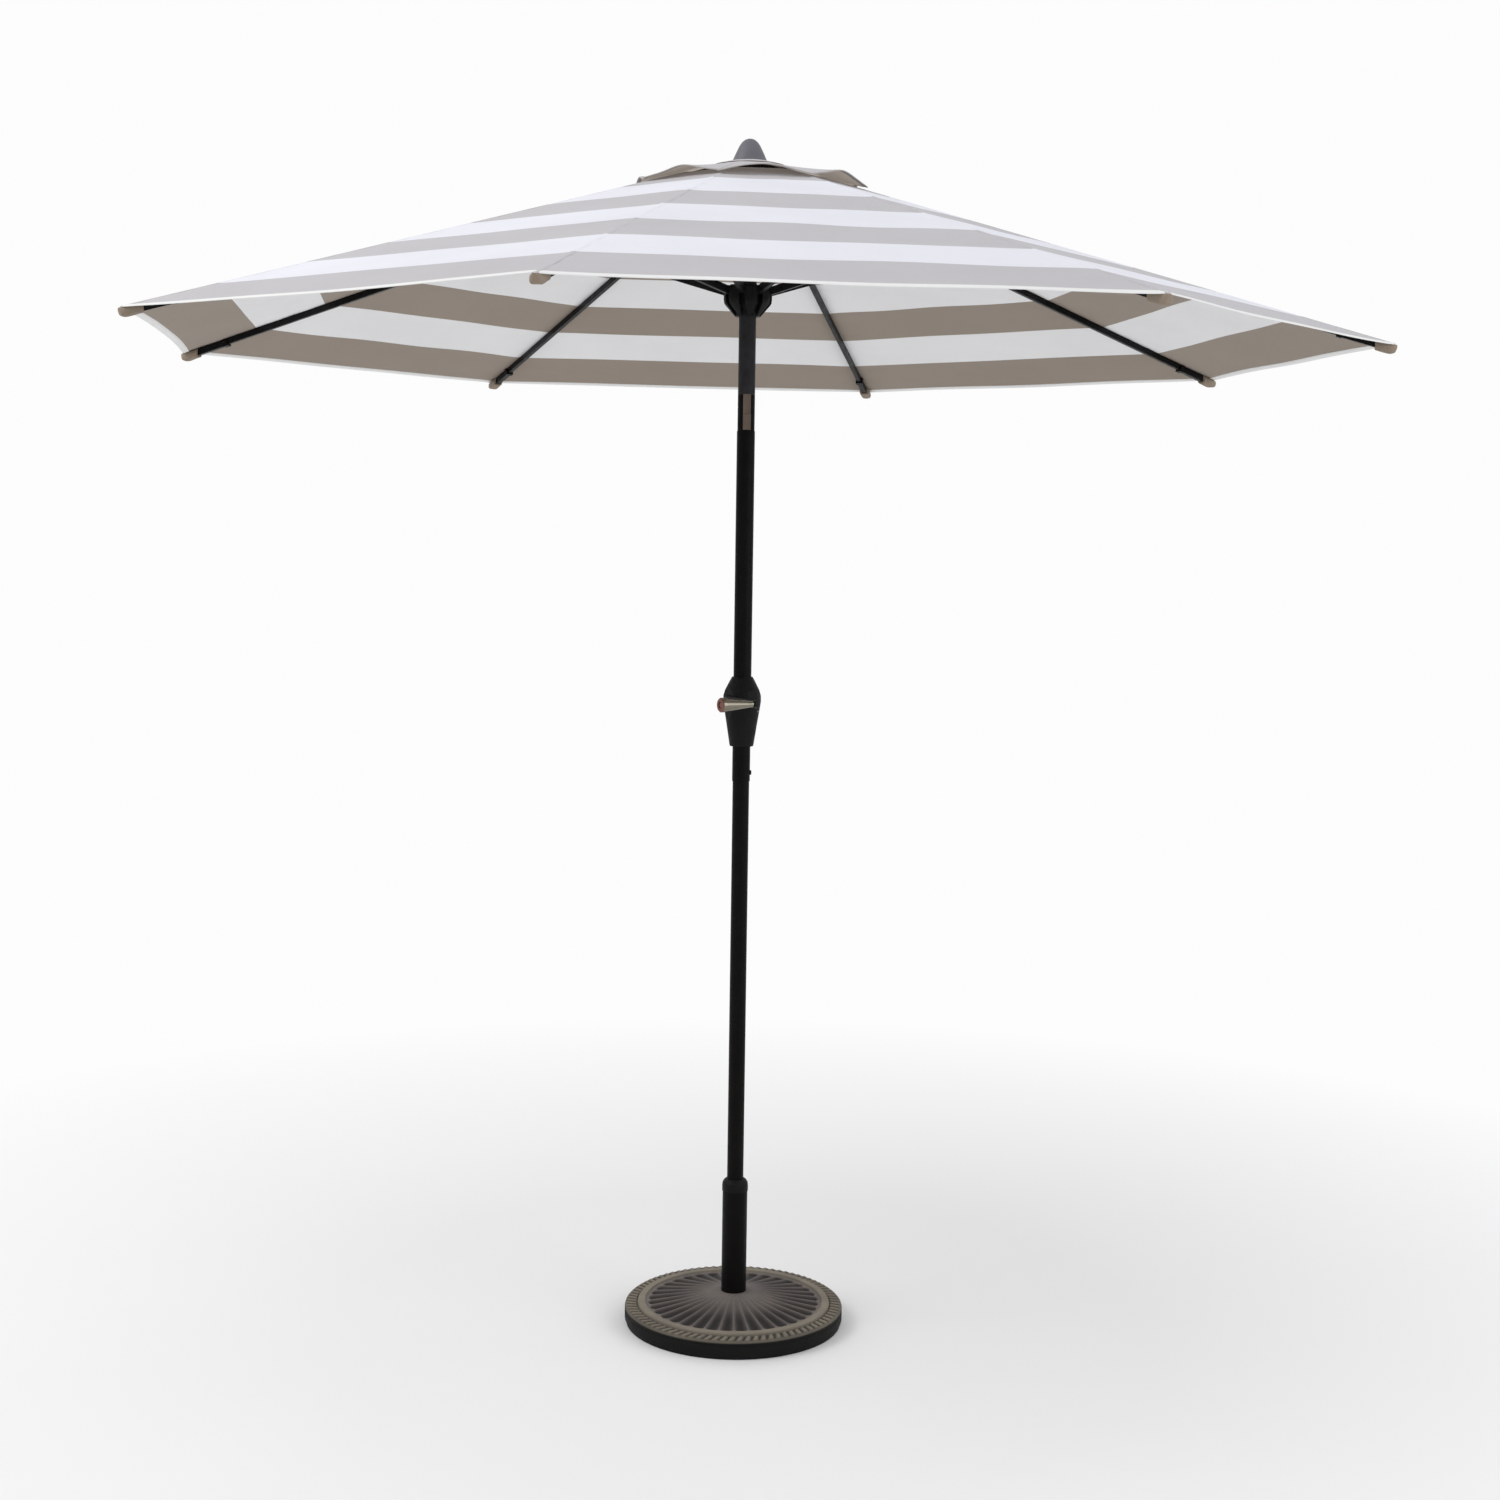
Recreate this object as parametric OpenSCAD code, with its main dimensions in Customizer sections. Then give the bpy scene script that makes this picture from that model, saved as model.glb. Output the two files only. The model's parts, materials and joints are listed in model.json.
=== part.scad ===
// Market umbrella with eight ribs, a crank lift, a push-button tilt and a weighted round base.
// Units are millimetres and degrees. The origin is on the pole axis at the floor, +Z is up,
// and the crank faces -Y. A turn is counted from -Y towards +X.

/* [Canopy] */
// Distance from the pole axis to the outer end of a rib
rib_reach = 1285; // [1240:5:1320]
// Slope of an open rib below the horizontal
open_slope = 16.8; // [16:0.1:17.5]
// Slope of a closed rib below the horizontal
closed_slope = 82; // [78:0.5:82]
// Distance from the pole axis to the rib and strut hinges
pivot_r = 45; // [44:0.5:46]
// Height of the rib hinges above the floor
hub_pivot_z = 2447.5; // [2440:0.5:2450]
// Distance from a rib's hinge to its strut's hinge, which is also the strut's length
strut_reach = 404; // [380:1:420]
// Distance from the pole axis to a canopy corner
corner_r = 1290; // [1245:5:1325]
// Radius of the air vent in the main canopy
vent_r = 150; // [130:5:170]
// Distance from the pole axis to a corner of the vent cover
vent_cover_r = 231; // [220:5:260]

/* [Ribs and struts] */
// Height of the rib tube
rib_h = 13; // [12:0.5:14]
// Width of the rib tube
rib_w = 9.5; // [9:0.5:10]
// Height of the strut tube
strut_h = 16; // [14:0.5:16]
// Width of the strut tube
strut_w = 10; // [8:0.5:10]

/* [Pole] */
// Outer diameter of the lower pole
lower_pole_d = 35.4; // [35:0.1:35.4]
// Outer diameter of the main pole
main_pole_d = 38; // [38:0.1:38.4]
// Outer diameter of the pole above the tilt joint
top_pole_d = 36; // [35.5:0.1:36.5]
// Height of the lower end of the main pole
main_pole_z = 1186.5; // [1175:0.5:1190]
// Height of the tilt joint's hinge
tilt_z = 1976; // [1960:1:1980]
// Turn of the tilt button from the crank
tilt_turn = 65; // [0:1:90]

/* [Crank] */
// Height of the crank shaft
crank_z = 1360; // [1350:1:1370]
// Length of the crank arm, shaft to grip
arm_len = 115; // [100:1:120]
// Length of the crank grip
grip_len = 78; // [70:1:85]
// Turns of the crank between open and closed
crank_turns = 8.25; // [8:0.25:9]

/* [Base] */
// Radius of the base
base_r = 237; // [225:1:250]
// Height of the base's rim
base_rim_h = 40; // [36:1:42]
// Outer diameter of the base tube
base_tube_d = 54; // [53:0.5:55]
// Height of the top of the base tube's cap
cap_top_z = 318; // [310:1:330]
// Height of the clamp knob
clamp_z = 236; // [220:1:245]
// Turn of the clamp knob from the crank
clamp_turn = 240; // [200:1:300]

/* [Hidden] */
$fn = 48;
ribs = 8;
gap = 0.2;
run_gap = 0.05;
cut = 0.01;

// Hinge line to rib tube centre, square to the rib
rib_lift = 20;
// Width between the cheeks of a strut bracket, and of the slots that the rib and strut ends move in
clevis_w = 12;
slot_w = clevis_w + 0.6;
hinge_end_r = 8;
hinge_pin_r = 2;
rib_foot_r = pivot_r + rib_lift * sin(open_slope);
rib_end_x = (rib_reach - rib_foot_r) / cos(open_slope);
rib_tip_len = 96;
strut_drop = 2 * strut_reach * sin(open_slope);
runner_pivot_z = hub_pivot_z - strut_drop;
runner_travel = 2 * strut_reach * sin(closed_slope) - strut_drop;

// The canopy sheet's underside, square to the rib tube's centre line
fabric_t = 1;
fabric_lift = rib_h / 2 + 1.2;
seam_gap = 1;
seam_angle = acos(pow(cos(open_slope), 2) * cos(45) + pow(sin(open_slope), 2));
gore_roll = atan(tan(22.5) * sin(open_slope));
seam_apex_x = -(rib_foot_r + fabric_lift * sin(open_slope)) / cos(open_slope);

// Poles
pole_wall = 1.2;
main_pole_bore = main_pole_d / 2 - pole_wall;
top_pole_bore = top_pole_d / 2 - pole_wall;
lower_pole_bore = lower_pole_d / 2 - 1.4;
pole_floor_z = 14;
lower_pole_top_z = main_pole_z + 64;
knuckle_z = tilt_z - 50;
tilt_gap_z = tilt_z + 26;
top_pole_z = tilt_gap_z + gap;
hub_top_z = hub_pivot_z + 21;
vent_cover_top_z = hub_top_z + 10.6;
snap_turn = 150;
snap_z = main_pole_z + 18;

// Cord
cord_r = 1.2;
winding_r = runner_travel / (2 * PI * crank_turns);
spool_core_r = winding_r - cord_r;
pulley_turn = 202.5;
pulley_r = 9;
cord_drop_r = 22.5;
pulley_z = hub_pivot_z - 9;

// Tilt joint
tilt_slot_w = 17;
tongue_w = tilt_slot_w - 0.4;
tongue_r = 14;
// Height of the button's stem, from the tilt hinge
tilt_stem_z = (knuckle_z - tilt_z - tongue_r + 0.5) / 2;

// Crank
housing_flat_y = -34;
arm_y = housing_flat_y - 0.4;
arm_t = 6.5;
grip_y = arm_y - arm_t - 1.5;
shaft_r = 4;
split_gap = 0.1;
screw_r = 1.6;
screw_head_r = 3.3;

clamp_r = 4;
snap_r = 5;
tilt_pin_r = 3;
grip_pin_r = 3;
pulley_pin_r = 1.5;
vent_cover_top_r = 40;
vent_cover_slope = 13.35;
vent_cover_h = (vent_cover_r - vent_cover_top_r) * tan(vent_cover_slope);
// Longer than any piece that a cut runs through
through = 2000;

function rib_name(kind, n) = str(kind, "_", n);

// ---- Placing ----

// Local -Y faces the given turn
module facing(turn) {
    rotate([0, 0, turn]) children();
}

// Local +X points away from the pole at rib n
module at_rib(n) {
    rotate([0, 0, 360 / ribs * (n - 1) - 90]) children();
}

// Origin at rib n's hinge, +X along the open rib, +Z square to it
module rib_frame(n) {
    at_rib(n) translate([pivot_r, 0, hub_pivot_z]) rotate([0, open_slope, 0]) children();
}

// Origin at strut n's outer hinge, +X along the strut towards the runner
module strut_frame(n) {
    rib_frame(n) translate([strut_reach, 0, 0]) rotate([0, 180 - 2 * open_slope, 0]) children();
}

// ---- Shapes ----

module tube(outer_r, inner_r, low_z, high_z) {
    translate([0, 0, low_z]) difference() {
        cylinder(r = outer_r, h = high_z - low_z);
        translate([0, 0, -1]) cylinder(r = inner_r, h = high_z - low_z + 2);
    }
}

// A cylinder along Y from low_y to high_y
module y_rod(r, low_y, high_y) {
    translate([0, low_y, 0]) rotate([-90, 0, 0]) cylinder(r = r, h = high_y - low_y);
}

// A cylinder along X from low_x to high_x
module x_rod(r, low_x, high_x) {
    translate([low_x, 0, 0]) rotate([0, 90, 0]) cylinder(r = r, h = high_x - low_x);
}

// A box centred on X and Z, from low_y to high_y
module y_block(w, h, low_y, high_y) {
    translate([-w / 2, low_y, -h / 2]) cube([w, high_y - low_y, h]);
}

// A round rod between two points
module rod(from, to, r) {
    along = to - from;
    length = norm(along);
    tilt = acos(along[2] / length);
    turn = atan2(along[1], along[0]);
    translate(from) rotate([0, tilt, turn]) cylinder(r = r, h = length);
}

// A coil of round wire about Z, starting at z = 0
module coil(r, wire_r, pitch, turns) {
    steps = 14;
    sides = 6;
    rows = turns * steps;
    points = [for (i = [0:rows]) for (j = [0:sides - 1])
        let (a = 360 * i / steps, b = 360 * j / sides, d = r + wire_r * cos(b))
        [d * cos(a), d * sin(a), pitch * i / steps + wire_r * sin(b)]];
    walls = [for (i = [0:rows - 1]) for (j = [0:sides - 1])
        let (k = (j + 1) % sides, low = i * sides, high = low + sides)
        [low + k, low + j, high + j, high + k]];
    start = [for (j = [0:sides - 1]) j];
    end = [for (j = [sides - 1:-1:0]) rows * sides + j];
    polyhedron(points, concat(walls, [start, end]));
}

// ---- Base ----

module base_disc() {
    petals = 36;
    profile = [
        [0, 0], [base_r - 3, 0], [base_r, 4], [base_r, base_rim_h - 6], [base_r - 5, base_rim_h],
        [base_r * 0.88, base_rim_h + 1], [base_r * 0.87, base_rim_h + 6],
        [base_r * 0.81, base_rim_h + 6], [base_r * 0.80, base_rim_h + 3],
        [base_r * 0.5, base_rim_h + 14], [base_r * 0.25, base_rim_h + 25],
        [base_tube_d / 2 + 8, base_rim_h + 28], [0, base_rim_h + 28]
    ];
    inner = [base_r * 0.25, base_rim_h + 26.5];
    outer = [base_r * 0.78, base_rim_h + 6];
    color("dimgray") difference() {
        rotate_extrude($fn = 96) polygon(profile);
        translate([0, 0, pole_floor_z]) cylinder(r = base_tube_d / 2 + 0.1, h = through);
        for (i = [0:petals - 1])
            facing(360 / petals * i)
                rod([0, -inner[0], inner[1]], [0, -outer[0], outer[1]], 2.5, $fn = 16);
    }
}

module base_tube() {
    color("black") difference() {
        tube(base_tube_d / 2, base_tube_d / 2 - 1.6, pole_floor_z + gap, cap_top_z - 27);
        facing(clamp_turn) translate([0, 0, clamp_z]) y_rod(clamp_r + gap, -base_tube_d, 0);
    }
}

module tube_cap() {
    r = base_tube_d / 2;
    bore = lower_pole_d / 2 + 0.1;
    z = cap_top_z - 27;
    profile = [
        [bore, z - 26], [r - 1.7, z - 26], [r - 1.7, z + cut], [r + 1.2, z + cut],
        [r + 1.2, z + 11], [r + 0.4, z + 18], [r - 2.5, z + 23], [r - 6, z + 26],
        [bore + 1, z + 27], [bore, z + 26]
    ];
    color("black") rotate_extrude($fn = 96) polygon(profile);
}

module clamp_nut() {
    color("darkgray") facing(clamp_turn) translate([0, 0, clamp_z]) difference() {
        y_block(16, 16, -34, -20);
        translate([0, 0, -20]) cylinder(r = base_tube_d / 2 + 0.02, h = 40, $fn = 96);
        y_rod(clamp_r + run_gap, -40, 0);
    }
}

module clamp_screw() {
    color("silver") facing(clamp_turn) translate([0, 0, clamp_z])
        y_rod(clamp_r, -56, -lower_pole_d / 2 - 0.3);
}

module clamp_knob() {
    lobes = 6;
    outer_y = -60;
    inner_y = -44;
    color("black") facing(clamp_turn) translate([0, 0, clamp_z]) difference() {
        union() {
            y_rod(9, inner_y - 1, -37);
            y_rod(16, outer_y, inner_y);
            for (i = [0:lobes - 1])
                rotate([0, 360 / lobes * (i + 0.5), 0]) translate([13.5, 0, 0])
                    y_rod(5.5, outer_y + 1, inner_y - 1);
        }
        y_rod(clamp_r, -56, 0);
    }
}

// ---- Poles ----

module snap_hole() {
    facing(snap_turn) translate([0, 0, snap_z]) y_rod(snap_r + gap, -main_pole_d, 0);
}

module lower_pole() {
    color("black") difference() {
        tube(lower_pole_d / 2, lower_pole_bore, pole_floor_z + gap, lower_pole_top_z);
        snap_hole();
    }
}

module snap_button() {
    color("black") facing(snap_turn) translate([0, 0, snap_z]) {
        y_rod(snap_r, -main_pole_d / 2 - 2, -lower_pole_bore + 3);
        y_rod(snap_r + 1.5, -lower_pole_bore + 1.7, -lower_pole_bore + 3);
        translate([0, -main_pole_d / 2 - 2, 0]) rotate([90, 0, 0])
            cylinder(r1 = snap_r, r2 = snap_r - 1, h = 1);
    }
}

// A bent leaf: one leg on the far wall, one leg a press behind the button
module snap_spring() {
    leaf = 0.8;
    far_y = lower_pole_bore - 2;
    near_y = -lower_pole_bore + 8.2;
    bend_r = (far_y - near_y) / 2;
    bend_z = snap_z - 45;
    color("silver") facing(snap_turn) {
        translate([-5, far_y - leaf, bend_z]) cube([10, leaf, 60]);
        translate([-5, near_y, bend_z]) cube([10, leaf, 52]);
        translate([0, (far_y + near_y) / 2, bend_z]) difference() {
            x_rod(bend_r, -5, 5);
            x_rod(bend_r - leaf, -6, 6);
            translate([-6, -20, 0]) cube([12, 40, 20]);
        }
    }
}

module main_pole() {
    color("black") difference() {
        tube(main_pole_d / 2, main_pole_bore, main_pole_z, knuckle_z);
        snap_hole();
        translate([0, 0, crank_z]) y_rod(shaft_r + 2, -main_pole_d, main_pole_d);
    }
}

// ---- Crank ----

// The housing's outline, grown outwards by a wall
function housing_outline(wall) = [
    [0, crank_z - 98.4 - wall], [25 + wall, crank_z - 98.4 - wall], [26 + wall, crank_z - 94],
    [31.5 + wall, crank_z - 58], [38.5 + wall, crank_z - 15], [40.3 + wall, crank_z - 2],
    [40 + wall, crank_z + 9], [36.5 + wall, crank_z + 21], [27 + wall, crank_z + 40],
    [22 + wall, crank_z + 49 + wall], [0, crank_z + 49 + wall]
];

module housing_solid(wall) {
    rotate_extrude($fn = 72) polygon(housing_outline(wall));
}

module at_screws() {
    for (x = [-27, 27]) for (z = [-23, 15])
        translate([x, 0, crank_z + z]) children();
}

// The hollow shell with its screw bosses and the collars that grip the pole
module housing_shell() {
    wall = 3;
    grip_r = main_pole_d / 2 + 3;
    difference() {
        housing_solid(0);
        difference() {
            housing_solid(-wall);
            translate([-60, -80, 0]) cube([120, 80 + housing_flat_y + wall, through]);
            at_screws() y_rod(5, -60, 60);
            translate([0, 0, crank_z - 110]) cylinder(r = grip_r, h = 30);
            translate([0, 0, crank_z + 30]) cylinder(r = grip_r, h = 30);
            translate([0, 0, crank_z]) y_rod(9, 24, 60);
        }
        cylinder(r = main_pole_d / 2 + 0.02, h = through, $fn = 72);
        translate([-60, -80, 0]) cube([120, 80 + housing_flat_y, through]);
        translate([0, 0, crank_z]) y_rod(shaft_r + run_gap, -60, 30.5);
    }
}

module crank_housing_front() {
    color("black") difference() {
        housing_shell();
        translate([-60, -split_gap, 0]) cube([120, 80, through]);
        at_screws() y_rod(screw_r, -18, 1);
    }
}

module crank_housing_back() {
    color("black") difference() {
        housing_shell();
        translate([-60, split_gap - 80, 0]) cube([120, 80, through]);
        at_screws() y_rod(screw_r + 0.1, -1, 21);
        at_screws() y_rod(screw_head_r + 0.3, 20, 60);
    }
}

module housing_screws() {
    color("silver") at_screws() difference() {
        union() {
            y_rod(screw_r, -17.5, 20);
            y_rod(screw_head_r, 20, 22.4);
        }
        translate([0, 21.2, 0]) y_block(0.8, 4, 0, 2);
        translate([0, 21.2, 0]) y_block(4, 0.8, 0, 2);
    }
}

module crank_shaft() {
    color("silver") translate([0, 0, crank_z]) y_rod(shaft_r, arm_y - arm_t - 1, 30);
}

module cord_spool() {
    flange_r = 14;
    half = 10;
    color("dimgray") translate([0, 0, crank_z]) difference() {
        union() {
            y_rod(spool_core_r, -half, half);
            y_rod(flange_r, -half, -half + 1.5);
            y_rod(flange_r, half - 1.5, half);
            y_rod(winding_r + cord_r, -half + 1.7, half - 1.7);
        }
        y_rod(shaft_r, -half - 1, half + 1);
    }
}

module brake_spring() {
    color("silver") translate([0, -20.4, crank_z]) rotate([90, 0, 0])
        coil(shaft_r + 1.9, 0.8, 1.9, 4.5);
}

module crank_arm() {
    boss_r = 10;
    eye_r = 8.5;
    inset = 1.5;
    low_y = arm_y - arm_t;
    color("black") translate([0, 0, crank_z]) difference() {
        union() {
            y_rod(boss_r, low_y, arm_y);
            translate([arm_len, 0, 0]) y_rod(eye_r, low_y, arm_y);
            translate([0, arm_y, 0]) rotate([90, 0, 0]) linear_extrude(arm_t)
                polygon([
                    [0, -boss_r + inset], [arm_len, -eye_r + inset],
                    [arm_len, eye_r - inset], [0, boss_r - inset]
                ]);
        }
        y_rod(shaft_r, low_y - 1, arm_y + 1);
        translate([arm_len, 0, 0]) y_rod(grip_pin_r, low_y - 1, arm_y + 1);
    }
}

module grip_pin() {
    color("silver") translate([arm_len, 0, crank_z]) {
        y_rod(grip_pin_r, grip_y - grip_len + 3, arm_y);
        y_rod(grip_pin_r + 2.5, grip_y - grip_len + 1.2, grip_y - grip_len + 3);
    }
}

module crank_grip() {
    small_r = 6.5;
    big_r = 15;
    shoulder = 9;
    profile = [
        [grip_pin_r + run_gap, 0], [small_r - 1, 0], [small_r, 1], [small_r, 6],
        [big_r, grip_len - shoulder], [big_r + 0.3, grip_len - 2], [big_r - 1.5, grip_len],
        [7, grip_len], [7, grip_len - 4], [grip_pin_r + run_gap, grip_len - 4]
    ];
    color("silver") translate([arm_len, grip_y, crank_z]) rotate([90, 0, 0])
        rotate_extrude($fn = 64) polygon(profile);
}

module lift_cord_lower() {
    color("gray") rod(
        [-winding_r, 0, crank_z + spool_core_r + 1],
        [-winding_r, 0, tilt_z - 22], cord_r);
}

// ---- Tilt joint ----

// Origin at the tilt hinge, the button faces -Y, the hinge runs along X
module tilt_frame() {
    facing(tilt_turn) translate([0, 0, tilt_z]) children();
}

module cord_channel() {
    translate([-winding_r, 0, 0]) cylinder(r = cord_r + 1.3, h = 2 * through);
}

module tilt_lower_knuckle() {
    low = knuckle_z - tilt_z;
    high = tilt_gap_z - tilt_z - 0.5;
    color("black") difference() {
        tilt_frame() difference() {
            union() {
                translate([0, 0, low]) cylinder(r = top_pole_d / 2, h = high - low, $fn = 72);
                translate([0, 0, low - 40]) cylinder(r = main_pole_bore, h = 41, $fn = 72);
            }
            // The slot for the tongue and the pocket for the button
            translate([-tilt_slot_w / 2, -20, -tongue_r - 1.5]) cube([tilt_slot_w, 40, 60]);
            translate([-tilt_slot_w / 2, -20, low + 2]) cube([tilt_slot_w, 11, 40]);
            translate([0, 0, tilt_stem_z]) y_rod(4, -10, 6);
            // Room for the upper pole to lean back
            translate([-20, 4.5, high]) rotate([-27, 0, 0]) cube([40, 40, 20]);
            x_rod(tilt_pin_r, -20, 20);
        }
        cord_channel();
    }
}

module tilt_pin() {
    color("silver") tilt_frame() x_rod(tilt_pin_r, -top_pole_d / 2 + 0.4, top_pole_d / 2 - 0.4);
}

module tilt_button() {
    low = knuckle_z - tilt_z + 2.4;
    high = -tongue_r - 0.6;
    color("silver") tilt_frame() {
        translate([0, 0, (low + high) / 2]) y_block(tongue_w, high - low, -16.2, -13.4);
        translate([0, 0, tilt_stem_z]) y_rod(2.2, -13.5, -10);
    }
}

module tilt_spring() {
    color("silver") tilt_frame() translate([0, -12.6, tilt_stem_z]) rotate([-90, 0, 0])
        coil(3, 0.5, 2, 6);
}

module tilt_upper_knuckle() {
    base = tilt_gap_z - tilt_z;
    color("silver") difference() {
        tilt_frame() difference() {
            union() {
                x_rod(tongue_r, -tongue_w / 2, tongue_w / 2);
                // The flat face in the window, down to the button
                translate([-tongue_w / 2, -tongue_r, -tongue_r]) cube([tongue_w, tongue_r, tongue_r + 1]);
                translate([-tongue_w / 2, -tongue_r, 0]) cube([tongue_w, 2 * tongue_r, base + 1]);
                translate([0, 0, base]) cylinder(r = top_pole_bore, h = 40, $fn = 72);
            }
            x_rod(tilt_pin_r + run_gap, -20, 20);
        }
        cord_channel();
    }
}

// ---- Top ----

module top_pole() {
    color("dimgray") difference() {
        tube(top_pole_d / 2, top_pole_bore, top_pole_z, hub_top_z - 6);
        facing(pulley_turn) translate([0, 0, pulley_z]) {
            y_block(8, 26, -30, -5);
            translate([0, -cord_drop_r + pulley_r, 0]) x_rod(pulley_pin_r, -12, 12);
        }
    }
}

function pulley_side(r) = [r * sin(pulley_turn), -r * cos(pulley_turn)];

module lift_cord_middle() {
    start = [-winding_r, 0, tilt_gap_z + 8];
    top = pulley_side(cord_drop_r - 2 * pulley_r);
    color("gray") rod(start, [top[0], top[1], pulley_z], cord_r);
}

module lift_cord_upper() {
    top = pulley_side(cord_drop_r);
    color("gray") rod(
        [top[0], top[1], runner_pivot_z + 2],
        [top[0], top[1], pulley_z], cord_r);
}

module runner() {
    high = runner_pivot_z + 12;
    bore = main_pole_d / 2 + 0.6;
    profile = [
        [bore, runner_pivot_z - 51], [25, runner_pivot_z - 51], [26.5, runner_pivot_z - 49],
        [27.5, runner_pivot_z - 36], [31, runner_pivot_z - 30], [45, runner_pivot_z - 24],
        [50.5, runner_pivot_z - 18], [50.5, runner_pivot_z + 6], [47, high], [bore, high]
    ];
    color("black") difference() {
        rotate_extrude($fn = 96) polygon(profile);
        for (n = [1:ribs])
            at_rib(n) translate([pivot_r - hinge_end_r - 1.5, -slot_w / 2, runner_pivot_z - 60])
                cube([40, slot_w, 100]);
        facing(pulley_turn) translate([0, -cord_drop_r, runner_pivot_z]) cylinder(r = cord_r + 0.6, h = 20);
    }
}

module top_hub() {
    low = hub_pivot_z - 14;
    profile = [
        [top_pole_d / 2 + 0.1, low], [50, low], [56, low + 5], [56, hub_top_z - 4],
        [53, hub_top_z], [4.1, hub_top_z], [4.1, hub_top_z - 5.8], [top_pole_d / 2 + 0.1, hub_top_z - 5.8]
    ];
    color("black") difference() {
        rotate_extrude($fn = 96) polygon(profile);
        for (n = [1:ribs]) at_rib(n) {
            translate([pivot_r - hinge_end_r - 1.5, -slot_w / 2, low - 1]) cube([40, slot_w, 60]);
            translate([pivot_r, 0, hub_pivot_z]) y_rod(hinge_pin_r, -11, 11);
        }
        facing(pulley_turn) {
            translate([0, 0, pulley_z]) y_block(8, 26, -25.5, -5);
            translate([0, -cord_drop_r, low - 1]) cylinder(r = cord_r + 0.8, h = 20);
            translate([0, -cord_drop_r + pulley_r, pulley_z]) x_rod(pulley_pin_r, -12, 12);
        }
    }
}

module hub_pins() {
    color("silver") for (n = [1:ribs])
        at_rib(n) translate([pivot_r, 0, hub_pivot_z]) y_rod(hinge_pin_r, -10.8, 10.8);
}

module pulley() {
    groove = pulley_r - cord_r;
    profile = [
        [pulley_pin_r + run_gap, -3], [pulley_r + 1, -3], [groove, -cord_r], [groove, cord_r],
        [pulley_r + 1, 3], [pulley_pin_r + run_gap, 3]
    ];
    color("black") facing(pulley_turn) translate([0, -cord_drop_r + pulley_r, pulley_z])
        rotate([0, 90, 0]) rotate_extrude() polygon(profile);
}

module pulley_pin() {
    color("silver") facing(pulley_turn) translate([0, -cord_drop_r + pulley_r, pulley_z])
        x_rod(pulley_pin_r, -11, 11);
}

module finial() {
    z = vent_cover_top_z + gap;
    profile = [
        [0, hub_top_z - 5], [4, hub_top_z - 5], [4, z], [36, z], [37, z + 1.5], [34, z + 7],
        [30.5, z + 15], [26, z + 24.5], [21.5, z + 33.5], [16.5, z + 40.5], [10.5, z + 45.5],
        [5, z + 47.5], [0, z + 48.1]
    ];
    color("gray") rotate_extrude($fn = 64) polygon(profile);
}

// An eight-sided shallow cone, clamped under the finial
module vent_cover() {
    hem_z = vent_cover_top_z - vent_cover_h;
    color("tan") difference() {
        vent_cone(hem_z);
        vent_cone(hem_z - fabric_t);
        translate([0, 0, hem_z - 1]) cylinder(r = 5, h = vent_cover_h + 2);
    }
}

module vent_cone(z) {
    translate([0, 0, z])
        cylinder(r1 = vent_cover_r, r2 = vent_cover_top_r, h = vent_cover_h, $fn = ribs);
}

// ---- Ribs, struts and canopy ----

// Tube, root fitting, strut bracket with its rivet, and outer end, as separate solids
module rib(n) {
    wall = 1;
    root_x = 12;
    plug_x = 30;
    tube_end_x = rib_end_x - rib_tip_len;
    cheek_r = 9;
    color("black") rib_frame(n) {
        translate([0, 0, rib_lift]) difference() {
            translate([root_x, -rib_w / 2, -rib_h / 2]) cube([tube_end_x - root_x, rib_w, rib_h]);
            translate([root_x - 1, -rib_w / 2 + wall, -rib_h / 2 + wall])
                cube([tube_end_x - root_x + 2, rib_w - 2 * wall, rib_h - 2 * wall]);
        }
        rib_root(root_x, plug_x, wall);
        translate([strut_reach, 0, 0]) {
            strut_bracket(cheek_r);
            y_rod(hinge_pin_r, -clevis_w / 2 - 2.5, clevis_w / 2 + 2.5);
        }
        translate([tube_end_x, 0, rib_lift]) rib_tip(wall);
    }
}

// The lug at the hinge rises to the tube and plugs into it
module rib_root(root_x, plug_x, wall) {
    lug_w = 10;
    inner_h = rib_h - 2 * wall - gap;
    difference() {
        union() {
            y_rod(7.5, -lug_w / 2, lug_w / 2);
            translate([-7.5, -lug_w / 2, 0]) cube([root_x - gap + 7.5, lug_w, rib_lift + rib_h / 2]);
            translate([0, -rib_w / 2 + wall + gap / 2, rib_lift - inner_h / 2])
                cube([plug_x, rib_w - 2 * wall - gap, inner_h]);
        }
        y_rod(hinge_pin_r + run_gap, -10, 10);
    }
}

// Two cheeks for the strut's hinge, under a saddle that the rib tube sits in
module strut_bracket(cheek_r) {
    outer_w = clevis_w + 4;
    saddle_z = rib_lift - rib_h / 2 - 1.2;
    saddle_top = rib_lift + rib_h / 2 - 1.2;
    difference() {
        union() {
            y_rod(cheek_r, -outer_w / 2, outer_w / 2);
            translate([-cheek_r, -outer_w / 2, 0]) cube([2 * cheek_r, outer_w, saddle_top]);
        }
        translate([-20, -clevis_w / 2, -20]) cube([40, clevis_w, saddle_z + 20]);
        translate([-20, -rib_w / 2 - cut, rib_lift - rib_h / 2 - cut]) cube([40, rib_w + 2 * cut, rib_h]);
        y_rod(hinge_pin_r + 0.02, -10, 10);
    }
}

// A collar, a plug in the tube and the flat end that the canopy's pocket slips over
module rib_tip(wall) {
    plug = 25;
    w = rib_w - 2 * wall - gap;
    h = rib_h - 2 * wall - gap;
    translate([-plug, -w / 2, -h / 2]) cube([plug + 1, w, h]);
    top = rib_h / 2 - 1;
    low = -rib_h / 2 - 2;
    translate([gap, -9, low - 1.5]) cube([11, 18, top - low + 1.5]);
    translate([11, -6, low]) cube([rib_tip_len - 17, 12, top - low]);
    translate([rib_tip_len - 8, 0, low]) cylinder(r = 7, h = top - low);
}

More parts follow.
